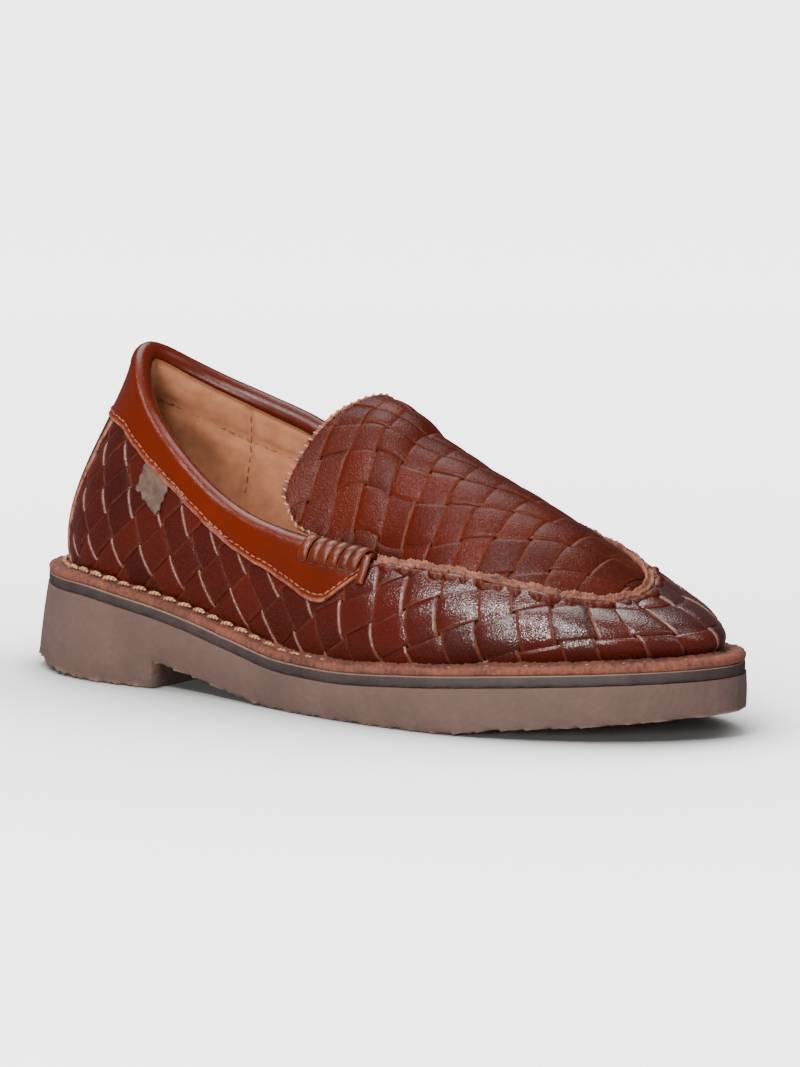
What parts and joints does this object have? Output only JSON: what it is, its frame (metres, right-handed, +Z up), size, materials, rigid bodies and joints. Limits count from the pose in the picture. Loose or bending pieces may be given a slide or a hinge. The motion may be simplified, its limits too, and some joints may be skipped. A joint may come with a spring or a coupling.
{
  "type": "woven loafer",
  "caption": "Woven leather moccasin-style loafer for the right foot, with a raised apron seam, rolled collar, laced throat corners and a thick rubber sole with a low heel.",
  "frame": {"origin": "on the floor under the middle of the sole's bounding box", "axes": "+X from heel to toe, +Y to the inner side of the right foot, +Z up"},
  "size_m": [0.262, 0.0887, 0.1061],
  "materials": {
    "rubber": "matte moulded rubber, warm grey-brown",
    "dark_layer": "matte dark brown layer",
    "raw_leather": "raw, rough cut leather",
    "lining_leather": "tan lining leather",
    "strip_leather": "reddish-brown waxed strips with a satin shine",
    "plug_leather": "reddish-brown strips, duller",
    "collar_leather": "glossy orange-brown smooth leather",
    "lace_leather": "brown leather lace",
    "tab_fabric": "grey-tan woven tape"
  },
  "bodies": {
    "root": {"outsole": "rubber", "midsole": "dark_layer", "welt": "raw_leather", "insole": "lining_leather", "upper": "strip_leather", "plug": "plug_leather", "plug_seam": "raw_leather", "collar": "collar_leather", "lace_wrap_lateral": "lace_leather", "lace_wrap_medial": "lace_leather", "back_strip": "collar_leather", "side_tab": "tab_fabric"}
  },
  "joints": []
}
